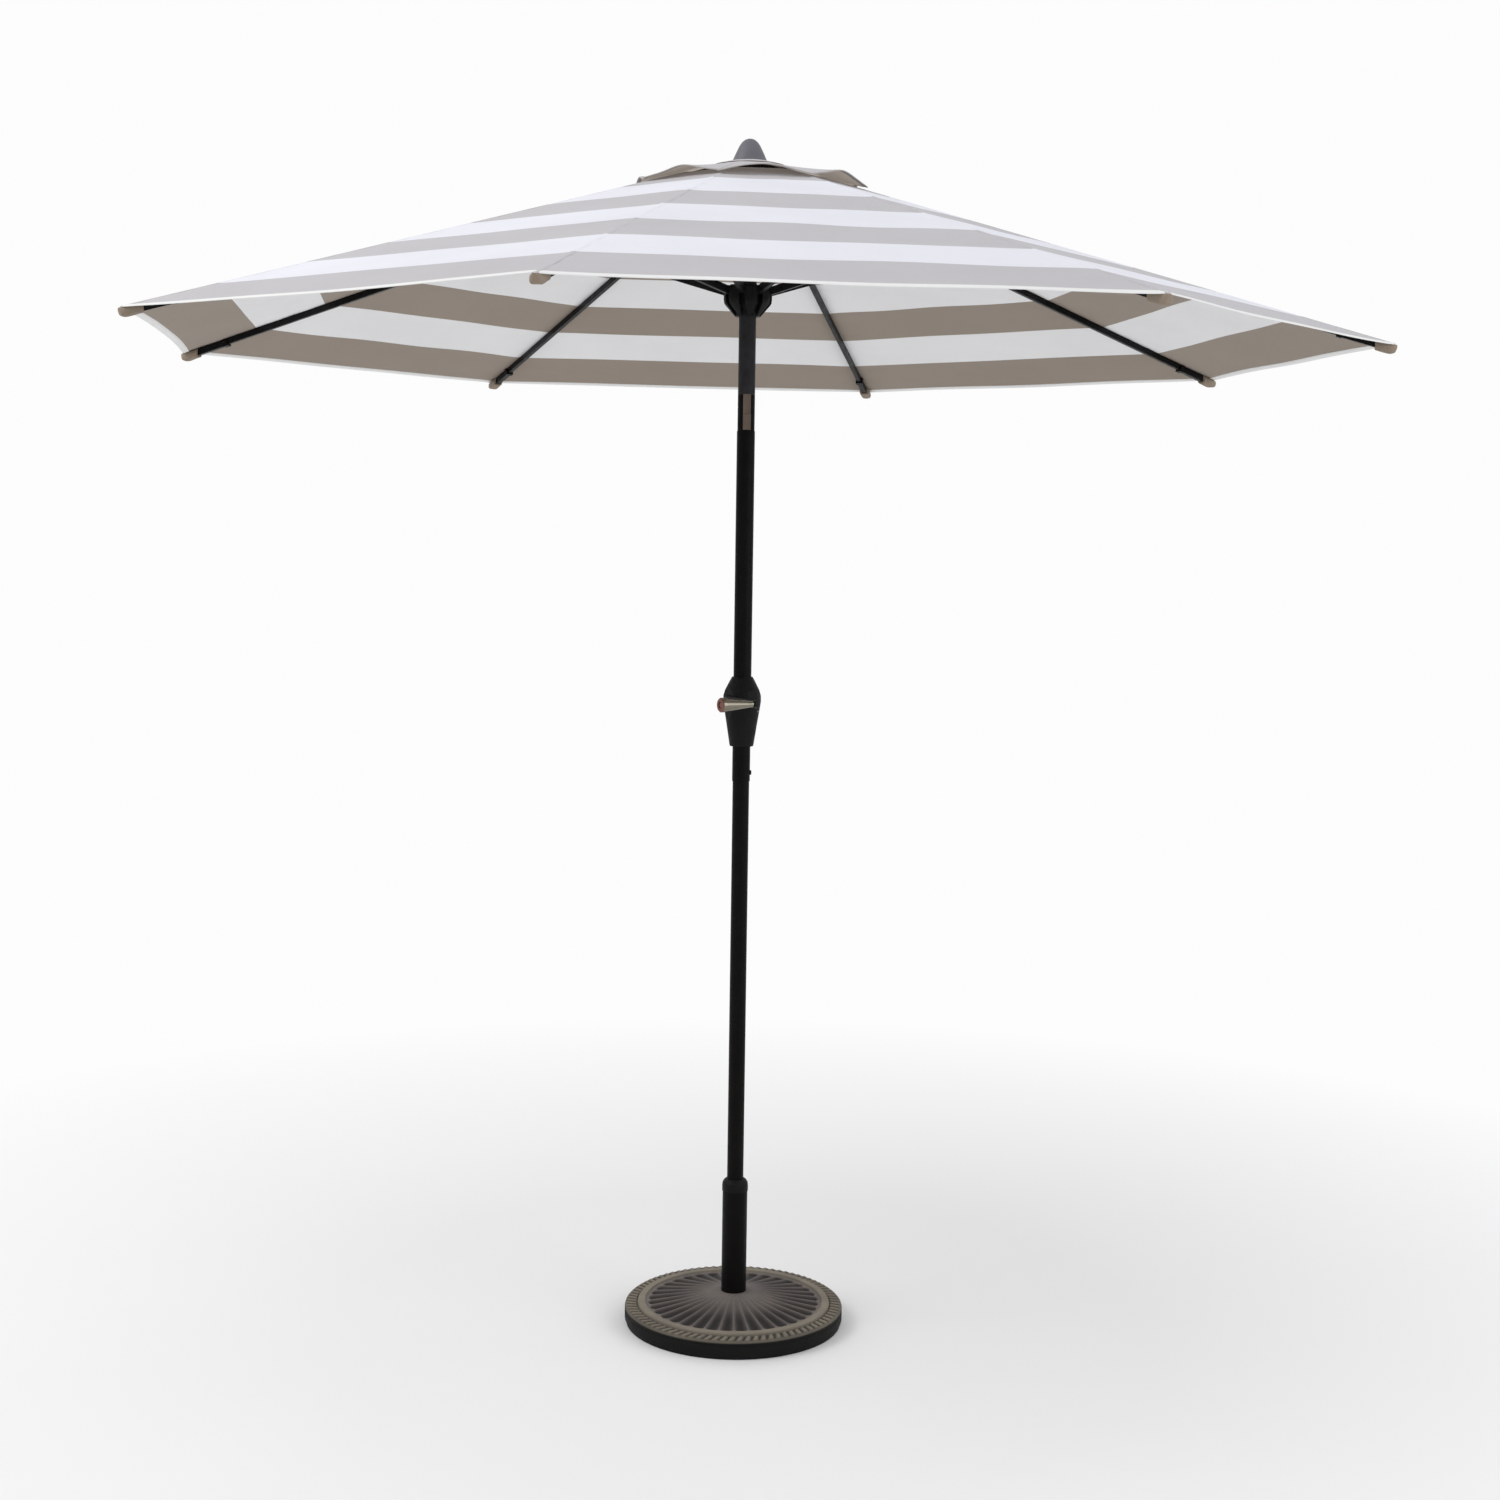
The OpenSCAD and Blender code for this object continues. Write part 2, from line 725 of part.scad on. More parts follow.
module strut(n) {
    end_w = clevis_w - 0.4;
    wall = 1;
    inset = 16;
    color("black") strut_frame(n) difference() {
        union() {
            y_rod(hinge_end_r, -end_w / 2, end_w / 2);
            translate([strut_reach, 0, 0]) y_rod(hinge_end_r, -end_w / 2, end_w / 2);
            translate([0, -strut_w / 2, -strut_h / 2]) cube([strut_reach, strut_w, strut_h]);
        }
        translate([inset, -strut_w / 2 + wall, -strut_h / 2 + wall])
            cube([strut_reach - 2 * inset, strut_w - 2 * wall, strut_h - 2 * wall]);
        y_rod(hinge_pin_r + run_gap, -10, 10);
        translate([strut_reach, 0, 0]) y_rod(hinge_pin_r, -10, 10);
    }
}

// A point of the gore's plane: along the near seam, and on the far seam
function near_point(s) = [seam_apex_x + s, seam_gap];
function far_point(s) = [
    seam_apex_x + s * cos(seam_angle) + seam_gap * sin(seam_angle),
    s * sin(seam_angle) - seam_gap * cos(seam_angle)
];

// The gore from rib n to the next rib, sewn to rib n
module canopy_panel(n) {
    inner = vent_r / cos(open_slope);
    outer = corner_r / cos(open_slope);
    color(n % 2 == 0 ? "whitesmoke" : "tan") rib_frame(n)
        translate([0, 0, rib_lift + fabric_lift]) rotate([-gore_roll, 0, 0])
            linear_extrude(fabric_t)
                polygon([near_point(inner), near_point(outer), far_point(outer), far_point(inner)]);
}

base_disc();
base_tube();
tube_cap();
clamp_nut();
clamp_screw();
clamp_knob();
lower_pole();
snap_button();
snap_spring();
main_pole();
crank_housing_front();
crank_housing_back();
housing_screws();
crank_shaft();
cord_spool();
brake_spring();
crank_arm();
grip_pin();
crank_grip();
lift_cord_lower();
tilt_lower_knuckle();
tilt_pin();
tilt_button();
tilt_spring();
tilt_upper_knuckle();
top_pole();
lift_cord_middle();
lift_cord_upper();
runner();
top_hub();
hub_pins();
pulley();
pulley_pin();
finial();
vent_cover();
for (n = [1:ribs]) {
    rib(n);
    strut(n);
    canopy_panel(n);
}
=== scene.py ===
"""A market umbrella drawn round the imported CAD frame.

Lengths are in metres, turns and slopes in radians. Turns count from -Y towards +X, the way the ribs do.
"""
import json
from math import asin, atan2, cos, exp, pi, radians, sin, sqrt, tan

import bpy
import numpy as np
from mathutils import Matrix, Vector

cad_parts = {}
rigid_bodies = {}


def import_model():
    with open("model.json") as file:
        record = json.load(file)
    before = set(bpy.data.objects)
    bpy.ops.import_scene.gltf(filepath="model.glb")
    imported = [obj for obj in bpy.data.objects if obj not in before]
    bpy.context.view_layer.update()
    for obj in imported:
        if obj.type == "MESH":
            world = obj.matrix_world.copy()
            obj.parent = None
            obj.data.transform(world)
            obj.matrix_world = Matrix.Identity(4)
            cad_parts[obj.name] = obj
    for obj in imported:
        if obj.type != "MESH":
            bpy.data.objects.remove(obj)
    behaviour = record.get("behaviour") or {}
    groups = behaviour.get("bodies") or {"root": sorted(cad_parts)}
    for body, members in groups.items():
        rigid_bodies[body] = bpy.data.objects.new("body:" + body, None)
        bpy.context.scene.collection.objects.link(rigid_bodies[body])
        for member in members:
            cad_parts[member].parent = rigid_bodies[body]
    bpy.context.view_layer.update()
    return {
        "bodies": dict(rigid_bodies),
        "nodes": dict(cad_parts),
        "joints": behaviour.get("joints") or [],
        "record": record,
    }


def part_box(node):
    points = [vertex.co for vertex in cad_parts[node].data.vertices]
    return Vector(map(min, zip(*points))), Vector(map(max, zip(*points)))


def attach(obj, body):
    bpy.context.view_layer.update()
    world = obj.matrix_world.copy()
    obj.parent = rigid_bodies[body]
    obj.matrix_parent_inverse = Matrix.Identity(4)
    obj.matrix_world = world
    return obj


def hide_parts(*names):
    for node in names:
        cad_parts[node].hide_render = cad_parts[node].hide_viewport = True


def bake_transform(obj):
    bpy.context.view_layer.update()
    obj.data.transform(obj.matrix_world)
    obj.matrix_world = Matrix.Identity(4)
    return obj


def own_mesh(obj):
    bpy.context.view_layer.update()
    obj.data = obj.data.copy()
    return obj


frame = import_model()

draws = np.random.default_rng(11)

# ---- Sizes that the frame gives ----

JOINTS = {joint["name"]: joint for joint in frame["joints"]}
NODES = frame["nodes"]
RIBS = sum(name.startswith("rib_") for name in frame["bodies"])
# Half the turn from one rib to the next
HALF = pi / RIBS

rib_hinge = JOINTS["canopy_fold"]["pos_m"]
strut_hinge = JOINTS["strut_1_fold"]["pos_m"]
HINGE_R = -rib_hinge[1]
HINGE_Z = rib_hinge[2]
# The open ribs' slope, along the line from their hinge at the hub to their strut's hinge
SLOPE = atan2(HINGE_Z - strut_hinge[2], -strut_hinge[1] - HINGE_R)

panel_low, panel_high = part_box("canopy_panel_1")
CORNER_R = -panel_low.y
VENT_R = -panel_high.y / cos(2 * HALF)
VENT_Z = panel_high.z
HEM_D = CORNER_R * cos(HALF)

cover_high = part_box("vent_cover")[1]
COVER_R = cover_high.x / cos(HALF)
PEAK_Z = cover_high.z
FINIAL_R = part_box("finial")[1].x
BASE_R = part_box("base_disc")[1].x
BASE_TOP_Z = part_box("base_disc")[1].z
TUBE_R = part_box("base_tube")[1].x
CORD_LOW, CORD_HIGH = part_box("lift_cord_upper")
GRIP_END_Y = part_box("crank_grip")[0].y

# ---- Hard pieces ----

# Width of the softened edges, and the angle from which an edge counts as sharp
EDGE = 0.0004
CREASE = radians(32)

# ---- Cloth ----

# Thickness of the cloth, and how far a gore and a vent flap stand back from a seam's middle
CLOTH = 0.001
SEAM_GAP = 0.0006
FLAP_GAP = 0.0004
# Stripes, counted from the hem: their width, how many there are and the rows of faces in each
STRIPE = 0.153
STRIPED = 6
STRIPE_ROWS = 12
# Points across a gore, and how strongly they are drawn towards the seams
GORE_COLUMNS = 57
CROWDED = 0.1
# Greatest height of one slow ripple
RIPPLE = 0.0008
# Small waves beside the stitches: height, pitch and how far they reach into the cloth
PUCKER = 0.0007
PUCKER_PITCH = 0.064
PUCKER_REACH = 0.035
# The hem bends in this last share of a gore: its corners reach past its middle, which hangs lower
HEM_ZONE = 0.14
EAR = 0.012
HEM_BOW = 0.016
HEM_SAG = 0.0065
BINDING_W = 0.015
SEAM_W = 0.011
POCKET_LEN = 0.042
POCKET_W = 0.025
POCKET_DROP = 0.0205
# How far the pocket stands out past the corner, and lies under the cloth's upper surface
POCKET_OUT = 0.004
POCKET_UNDER = 0.0012
# The weave's thread, and the stitches' pitch and distance from a tape's edge
THREAD = 0.0011
STITCH = 0.004
STITCH_IN = 0.003


# ---- Meshes ----


def facing(turn):
    """The level direction at this turn, counted from -Y towards +X."""
    return Vector((sin(turn), -cos(turn), 0))


def across(turn):
    """The level direction square to facing(turn), towards the next rib."""
    return Vector((cos(turn), sin(turn), 0))


def rib_turn(n):
    return 2 * HALF * (n - 1)


def new_object(name, points, faces):
    mesh = bpy.data.meshes.new(name)
    mesh.from_pydata([tuple(p) for p in points], [], faces)
    mesh.shade_smooth()
    mesh.set_sharp_from_angle(angle=CREASE)
    made = bpy.data.objects.new(name, mesh)
    bpy.context.scene.collection.objects.link(made)
    return made


def set_uv(made, uvs):
    layer = made.data.uv_layers.new(name="Cloth")
    for loop in made.data.loops:
        layer.data[loop.index].uv = uvs[loop.vertex_index]


def sheet(name, rows, columns, place, uv_of):
    """A grid of rows by columns points; place and uv_of take a row and a column."""
    cells = [(i, j) for i in range(rows) for j in range(columns)]
    faces = []
    for i in range(rows - 1):
        for j in range(columns - 1):
            a = i * columns + j
            faces.append((a, a + columns, a + columns + 1, a + 1))
    made = new_object(name, [place(i, j) for i, j in cells], faces)
    set_uv(made, [uv_of(i, j) for i, j in cells])
    return made


def sweep(name, rings, uvs=None):
    """A closed skin through rings of equal length, with a cap at both ends."""
    count = len(rings[0])
    points = [p for ring in rings for p in ring]
    faces = []
    for i in range(len(rings) - 1):
        for j in range(count):
            k = (j + 1) % count
            faces.append((i * count + j, i * count + k, (i + 1) * count + k, (i + 1) * count + j))
    last = (len(rings) - 1) * count
    faces.append(tuple(range(count - 1, -1, -1)))
    faces.append(tuple(last + j for j in range(count)))
    made = new_object(name, points, faces)
    if uvs is not None:
        set_uv(made, [uv for row in uvs for uv in row])
    return made


def thicken(made, thickness, under_slots=0):
    """Gives a sheet its thickness below its surface; its underside takes the next slots."""
    solid = made.modifiers.new("thickness", "SOLIDIFY")
    solid.thickness = thickness
    solid.offset = -1
    solid.material_offset = under_slots
    solid.material_offset_rim = under_slots


def use_slots(made, materials):
    for material in materials:
        made.data.materials.append(material)


def ease(x):
    """0 below 0, 1 above 1, and smooth between."""
    x = min(1.0, max(0.0, x))
    return x * x * (3 - 2 * x)


# ---- Materials ----

DUST = (0.42, 0.39, 0.35)
COPPER = (0.22, 0.10, 0.08)
# The coppery cap goes from full to none over these distances from the grip's end
CAP_END = (0.0016, 0.0024)


def add(tree, kind, inputs=None, **settings):
    """A node with its settings, and with each input set to a value or linked to a socket."""
    made = tree.nodes.new(kind)
    for key, value in settings.items():
        setattr(made, key, value)
    for key, value in (inputs or {}).items():
        if isinstance(value, bpy.types.NodeSocket):
            tree.links.new(value, made.inputs[key])
        else:
            made.inputs[key].default_value = value
    return made


def new_material(name):
    material = bpy.data.materials.new(name)
    material.use_nodes = True
    tree = material.node_tree
    tree.nodes.clear()
    shader = add(tree, "ShaderNodeBsdfPrincipled")
    output = add(tree, "ShaderNodeOutputMaterial")
    tree.links.new(shader.outputs[0], output.inputs["Surface"])
    return material, tree, shader


def rgba(colour):
    return (*colour, 1.0)


def scaled(colour, factor):
    return rgba([min(1.0, c * factor) for c in colour])


def noise(tree, coords, scale, detail=3.0):
    made = add(tree, "ShaderNodeTexNoise", {"Vector": coords, "Scale": scale, "Detail": detail})
    return made.outputs["Fac"]


def ramp(tree, value, low, high, from_low=0.3, from_high=0.7):
    """A number that goes from low to high as value crosses its range."""
    made = add(
        tree,
        "ShaderNodeMapRange",
        {"Value": value, "From Min": from_low, "From Max": from_high, "To Min": low, "To Max": high},
    )
    return made.outputs["Result"]


def mix_colour(tree, factor, first, second, blend="MIX"):
    inputs = {"Fac": factor, "Color1": first, "Color2": second}
    return add(tree, "ShaderNodeMixRGB", inputs, blend_type=blend).outputs["Color"]


def bump(tree, height, strength, distance, normal=None):
    inputs = {"Height": height, "Strength": strength, "Distance": distance}
    if normal is not None:
        inputs["Normal"] = normal
    return add(tree, "ShaderNodeBump", inputs).outputs["Normal"]


def calc(tree, operation, first, second=0.0):
    """The result of a math node on one or two numbers or sockets."""
    made = add(tree, "ShaderNodeMath", operation=operation)
    for socket, value in zip(made.inputs, (first, second)):
        if isinstance(value, bpy.types.NodeSocket):
            tree.links.new(value, socket)
        else:
            socket.default_value = value
    return made.outputs[0]


def object_coords(tree):
    return add(tree, "ShaderNodeTexCoord").outputs["Object"]


def settled_dust(tree, coords, amount):
    """How much dust lies here: none on sides and undersides, and at most this amount on level faces."""
    normal = add(tree, "ShaderNodeNewGeometry").outputs["Normal"]
    upward = add(tree, "ShaderNodeSeparateXYZ", {"Vector": normal}).outputs["Z"]
    return calc(tree, "MULTIPLY", ramp(tree, upward, 0.0, amount, 0.2, 0.95), noise(tree, coords, 60.0))


def hard_material(
    name,
    colour,
    roughness,
    metallic=0.0,
    grain=900.0,
    depth=0.0001,
    patchy=0.25,
    dust=0.0,
    streak=None,
    shine=0.5,
):
    """Paint, moulded plastic or metal: uneven shade and gloss, a fine grain, and dust on its upper faces."""
    material, tree, shader = new_material(name)
    coords = object_coords(tree)
    stretched = coords
    if streak is not None:
        stretched = add(tree, "ShaderNodeMapping", {"Vector": coords, "Scale": streak}).outputs[0]
    patches = ramp(tree, noise(tree, coords, 23.0, 5.0), 0.0, 1.0)
    shade = mix_colour(tree, patches, scaled(colour, 1 - patchy), scaled(colour, 1 + patchy))
    if dust > 0:
        shade = mix_colour(tree, settled_dust(tree, coords, dust), shade, rgba(DUST))
    fine = noise(tree, stretched, grain, 2.0)
    gloss = ramp(tree, noise(tree, stretched, 70.0), roughness - 0.08, roughness + 0.08)
    tree.links.new(shade, shader.inputs["Base Color"])
    tree.links.new(gloss, shader.inputs["Roughness"])
    tree.links.new(bump(tree, fine, 0.35, depth), shader.inputs["Normal"])
    shader.inputs["Metallic"].default_value = metallic
    shader.inputs["Specular IOR Level"].default_value = shine
    return material


def weave_height(tree, uv, pitch):
    """Over-and-under threads from two sets of waves; pitch is one thread."""
    turns = 2 * pi / pitch
    split = add(tree, "ShaderNodeSeparateXYZ", {"Vector": uv})
    warp = calc(tree, "SINE", calc(tree, "MULTIPLY", split.outputs["X"], turns))
    weft = calc(tree, "SINE", calc(tree, "MULTIPLY", split.outputs["Y"], turns))
    return calc(tree, "MULTIPLY", warp, weft)


def add_stitches(tree, uv, colour, shade, normal):
    """A line of stitches along a tape; gives back the new shade and normal."""
    split = add(tree, "ShaderNodeSeparateXYZ", {"Vector": uv})
    dashes = calc(tree, "SINE", calc(tree, "MULTIPLY", split.outputs["X"], 2 * pi / STITCH))
    from_line = calc(tree, "ABSOLUTE", calc(tree, "SUBTRACT", split.outputs["Y"], STITCH_IN))
    on_line = ramp(tree, from_line, 1.0, 0.0, 0.0005, 0.0009)
    stitch = calc(tree, "MULTIPLY", on_line, ramp(tree, dashes, 0.0, 1.0, -0.5, -0.1))
    shade = mix_colour(tree, calc(tree, "MULTIPLY", stitch, 0.5), shade, scaled(colour, 0.55))
    return shade, bump(tree, stitch, 0.6, 0.0004, normal)


def fabric_material(name, colour, stitched=False, glow=0.0):
    """Woven polyester: threads, slubs, faint shade changes and soft puckers.

    Glow is the light that comes through it.
    """
    material, tree, shader = new_material(name)
    coords = object_coords(tree)
    uv = add(tree, "ShaderNodeUVMap", uv_map="Cloth").outputs["UV"]
    threads = weave_height(tree, uv, THREAD)
    slub_coords = add(tree, "ShaderNodeMapping", {"Vector": uv, "Scale": (25.0, 900.0, 1.0)}).outputs[0]
    slubs = noise(tree, slub_coords, 1.0, 2.0)
    patches = noise(tree, coords, 5.0, 4.0)
    shade = mix_colour(tree, ramp(tree, patches, 0.0, 1.0), scaled(colour, 0.965), scaled(colour, 1.02))
    shade = mix_colour(tree, ramp(tree, slubs, 0.0, 0.35), shade, scaled(colour, 0.93))
    shade = mix_colour(tree, ramp(tree, threads, 0.0, 0.12, -1.0, 1.0), shade, scaled(colour, 0.8))
    pucker = bump(tree, noise(tree, coords, 16.0, 3.0), 0.25, 0.004)
    normal = bump(tree, threads, 0.3, 0.00015, pucker)
    if stitched:
        shade, normal = add_stitches(tree, uv, colour, shade, normal)
    tree.links.new(shade, shader.inputs["Base Color"])
    tree.links.new(normal, shader.inputs["Normal"])
    tree.links.new(ramp(tree, slubs, 0.78, 0.92), shader.inputs["Roughness"])
    shader.inputs["Sheen Weight"].default_value = 0.08
    if glow > 0:
        tree.links.new(shade, shader.inputs["Emission Color"])
        shader.inputs["Emission Strength"].default_value = glow
    shader.inputs["Specular IOR Level"].default_value = 0.25
    return material


def cast_material(name):
    """Weathered bronze paint on cast resin, with its colour and painted shade set on the mesh."""
    material, tree, shader = new_material(name)
    coords = object_coords(tree)
    tint = add(tree, "ShaderNodeAttribute", attribute_name="tint").outputs["Color"]
    patches = noise(tree, coords, 14.0, 6.0)
    pits = noise(tree, coords, 420.0, 4.0)
    worn = ramp(tree, patches, 0.0, 0.6)
    rubbed = mix_colour(tree, worn, tint, rgba((0.6, 0.62, 0.68)), "MULTIPLY")
    specks = ramp(tree, pits, 0.0, 0.5, 0.45, 0.75)
    shade = mix_colour(tree, specks, rubbed, rgba((1.5, 1.4, 1.25)), "MULTIPLY")
    tree.links.new(shade, shader.inputs["Base Color"])
    tree.links.new(ramp(tree, pits, 0.55, 0.78), shader.inputs["Roughness"])
    shader.inputs["Specular IOR Level"].default_value = 0.15
    coarse = bump(tree, noise(tree, coords, 90.0, 5.0), 0.5, 0.0009)
    tree.links.new(bump(tree, pits, 0.5, 0.0004, coarse), shader.inputs["Normal"])
    return material


def grip_material(name):
    """Plated metal with a coppery end face."""
    material = hard_material(
        name,
        (0.22, 0.20, 0.16),
        0.17,
        metallic=1.0,
        grain=500.0,
        depth=0.00008,
        patchy=0.12,
        streak=(1.0, 0.08, 1.0),
    )
    tree = material.node_tree
    shader = next(n for n in tree.nodes if n.type == "BSDF_PRINCIPLED")
    plate = shader.inputs["Base Color"].links[0].from_socket
    depth = add(tree, "ShaderNodeSeparateXYZ", {"Vector": object_coords(tree)}).outputs["Y"]
    past = calc(tree, "SUBTRACT", depth, GRIP_END_Y)
    end = ramp(tree, past, 1.0, 0.0, *CAP_END)
    tree.links.new(mix_colour(tree, end, plate, rgba(COPPER)), shader.inputs["Base Color"])
    return material


def cord_material(name):
    material, tree, shader = new_material(name)
    coords = object_coords(tree)
    fibres = noise(tree, coords, 1400.0, 2.0)
    shade = mix_colour(tree, fibres, rgba((0.30, 0.29, 0.27)), rgba((0.50, 0.49, 0.46)))
    tree.links.new(shade, shader.inputs["Base Color"])
    tree.links.new(bump(tree, fibres, 0.5, 0.0002), shader.inputs["Normal"])
    shader.inputs["Roughness"].default_value = 0.85
    return material


TAUPE = fabric_material("taupe_cloth", (0.522, 0.508, 0.527))
WHITE = fabric_material("white_cloth", (0.795, 0.80, 0.86))
# Painted shade: the taupe cloth's underside is a darker, browner copy of its upper side
TAUPE_SHADED_UNDER = fabric_material("taupe_cloth_shaded_underside", (0.30, 0.25, 0.205))
WHITE_UNDER = fabric_material("white_cloth_underside", (0.83, 0.83, 0.835))
BINDING = fabric_material("white_binding", (0.84, 0.84, 0.83), stitched=True)
TAPE = fabric_material("taupe_binding", (0.43, 0.41, 0.39), stitched=True)
# Painted shade: the corner pockets take a dark brown like the shaded taupe underside
POCKET_SHADED = fabric_material("pocket_cloth_shaded", (0.27, 0.215, 0.165))
# Painted light: the vent flaps' underside is paler than the shaded taupe underside and glows, for the light
# coming through
FLAP_UNDER_LIT = fabric_material("vent_flap_underside_lit", (0.45, 0.40, 0.35), glow=0.4)
CAST = cast_material("cast_bronze_resin")
POLE = hard_material(
    "black_powder_coat", (0.0036, 0.0031, 0.0028), 0.42, grain=1100.0, depth=0.0002, shine=0.07
)
POLE_GREY = hard_material(
    "charcoal_powder_coat", (0.019, 0.019, 0.021), 0.45, grain=1100.0, depth=0.0002, shine=0.15
)
FRAME = hard_material(
    "black_frame_paint", (0.0055, 0.0055, 0.006), 0.40, grain=1300.0, depth=0.00015, dust=0.04, shine=0.14
)
PLASTIC = hard_material(
    "black_plastic", (0.0045, 0.0045, 0.005), 0.50, grain=2100.0, dust=0.02, shine=0.12
)
GREY_PLASTIC = hard_material("grey_plastic", (0.122, 0.118, 0.136), 0.52, grain=1500.0, patchy=0.08)
STEEL = hard_material(
    "zinc_steel",
    (0.52, 0.52, 0.53),
    0.32,
    metallic=1.0,
    grain=700.0,
    depth=0.00005,
    patchy=0.1,
    streak=(1.0, 1.0, 0.1),
)
TILT_STEEL = hard_material(
    "tilt_steel",
    (0.155, 0.12, 0.096),
    0.36,
    metallic=0.9,
    grain=700.0,
    depth=0.00008,
    patchy=0.2,
    streak=(1.0, 1.0, 0.05),
)
GRIP = grip_material("plated_grip")
CORD = cord_material("lift_cord_fibre")

NODE_LOOKS = {
    "base_resin": CAST,
    "pole_black": POLE,
    "pole_grey": POLE_GREY,
    "frame_black": FRAME,
    "black_plastic": PLASTIC,
    "grey_plastic": GREY_PLASTIC,
    "zinc_steel": STEEL,
    "tilt_steel": TILT_STEEL,
    "grip_chrome": GRIP,
    "cord": CORD,
    "fabric_taupe": TAUPE,
}

# Nodes whose look differs from the rest of their material slot
OWN_LOOKS = {"grip_pin": GRIP, "snap_button": PLASTIC}


def dress_cad_nodes():
    """Each carried-over CAD node takes the look of its material slot, smooth sides and softened edges."""
    for part in frame["record"]["subparts"]:
        node = NODES[part["node"]]
        node.data.materials.clear()
        look = OWN_LOOKS.get(part["node"], NODE_LOOKS[part["material_slot"]])
        node.data.materials.append(look)
        node.data.shade_smooth()
        node.data.set_sharp_from_angle(angle=CREASE)
        soft = node.modifiers.new("soft_edges", "BEVEL")
        soft.width = EDGE
        soft.segments = 2
        soft.limit_method = "ANGLE"
        soft.angle_limit = CREASE
        soft.harden_normals = True


# ---- Canopy ----


def seam_z(r):
    """Height of the cloth's upper surface over a rib, r from the pole."""
    return VENT_Z - (r - VENT_R) * tan(SLOPE)


def stripe_edges():
    """Distances of the stripe edges from the pole, square to the hem, from the hem inward."""
    return [HEM_D - STRIPE * k for k in range(STRIPED + 1)]


def stripe_at(d):
    """0 for taupe and 1 for white."""
    k = int((HEM_D - d) / STRIPE)
    return 1 if k < STRIPED and k % 2 == 1 else 0


def near_hem(d):
    """0 over most of a gore, and rising to 1 at its hem."""
    return ease((d - (1 - HEM_ZONE) * HEM_D) / (HEM_ZONE * HEM_D))


def gore_rows():
    """Row distances from the vent to the hem, with rows on each stripe edge."""
    edges = [VENT_R * cos(HALF)] + stripe_edges()[::-1]
    rows = []
    for low, high in zip(edges, edges[1:]):
        rows += [low + (high - low) * k / STRIPE_ROWS for k in range(STRIPE_ROWS)]
    return rows + [HEM_D]


def gore_columns():
    """Shares of the way from seam to seam, closer together beside the seams."""
    evenly = [j / (GORE_COLUMNS - 1) for j in range(GORE_COLUMNS)]
    return [t - CROWDED * sin(2 * pi * t) for t in evenly]


def gore_waves():
    """Random slow ripples for one gore, as (turns along, turns across, phase, height)."""
    waves = []
    for _ in range(5):
        along = draws.uniform(1.0, 4.5)
        crosswise = draws.uniform(-2.5, 2.5)
        phase = draws.uniform(0, 2 * pi)
        waves.append((along, crosswise, phase, draws.uniform(0.4, 1.0) * RIPPLE))
    return waves


def ripple_z(waves, share, t):
    """Height of the slow ripples, share of the way out and t of the way across."""
    return sum(h * sin(2 * pi * (a * share + b * t) + phase) for a, b, phase, h in waves)


def seam_pucker(waves, d, side, edge):
    """Waves that run along a seam and die out away from it; edge is the distance from the nearest seam."""
    if not waves:
        return 0
    x = edge / PUCKER_REACH
    phase = waves[0][2] + waves[1][2] * side
    return PUCKER * x * exp(1 - x) * sin(2 * pi * d / PUCKER_PITCH + phase)


def gore_point(n, waves, d, t):
    """The cloth of gore n: d from the pole square to the hem, t from 0 at rib n to 1 at the next rib."""
    side = 2 * t - 1
    bow = 1 - side * side
    reach = d + (EAR - HEM_BOW * bow) * near_hem(d)
    width = reach * tan(HALF) - SEAM_GAP
    share = d / HEM_D
    z = seam_z(reach / cos(HALF)) - HEM_SAG * bow * near_hem(d)
    z += ripple_z(waves, share, t) * sqrt(max(bow, 0)) * share
    z += seam_pucker(waves, d, 1 if side > 0 else -1, (1 - abs(side)) * width)
    middle = rib_turn(n) + HALF
    point = facing(middle) * reach + across(middle) * side * width
    return Vector((point.x, point.y, z))


def gather(made, n):
    """Works out rib n's fold directions, which nothing uses, and gives the piece its own mesh."""
    turn = rib_turn(n)
    along = facing(turn) * cos(SLOPE) - Vector((0, 0, sin(SLOPE)))
    chord = gore_point(n, [], HEM_D, 1) - gore_point(n, [], HEM_D, 0)
    lateral = (chord - along * chord.dot(along)).normalized()
    up = along.cross(lateral)
    if up.z < 0:
        up = -up
    seam = facing(turn) * VENT_R + Vector((0, 0, seam_z(VENT_R)))
    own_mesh(made)


def make_gore(n, waves):
    """The cloth between rib n and the next, sewn to rib n, with its stripes as faces."""
    rows = gore_rows()
    shares = gore_columns()
    columns = len(shares)

    def place(i, j):
        return gore_point(n, waves, rows[i], shares[j])

    def uv(i, j):
        side = 2 * shares[j] - 1
        return (side * rows[i] * tan(HALF), rows[i] / cos(SLOPE))

    gore = sheet(f"canopy_gore_{n}", len(rows), columns, place, uv)
    use_slots(gore, [TAUPE, WHITE, TAUPE_SHADED_UNDER, WHITE_UNDER])
    for index, face in enumerate(gore.data.polygons):
        row = index // (columns - 1)
        face.material_index = stripe_at((rows[row] + rows[row + 1]) / 2)
    thicken(gore, CLOTH, 2)
    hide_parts(f"canopy_panel_{n}")
    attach(gore, f"rib_{n}")
    gather(gore, n)


def make_hem(n, waves):
    """White tape folded over gore n's outer edge."""
    shares = gore_columns()
    section = [
        (-BINDING_W, 0.0006),
        (-0.003, 0.0009),
        (0.0008, 0.0004),
        (0.0016, -0.0005),
        (0.0008, -0.0016),
        (-0.003, -0.0021),
        (-BINDING_W, -0.0018),
    ]
    rings, uvs = [], []
    for t in shares:
        edge = gore_point(n, waves, HEM_D, t)
        inward = (gore_point(n, waves, HEM_D - BINDING_W, t) - edge).normalized()
        rings.append([edge - inward * out + Vector((0, 0, up)) for out, up in section])
        uvs.append([((t - 0.5) * 2 * HEM_D * tan(HALF), BINDING_W + out) for out, up in section])
    hem = sweep(f"hem_binding_{n}", rings, uvs)
    use_slots(hem, [BINDING])
    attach(hem, f"rib_{n}")
    gather(hem, n)


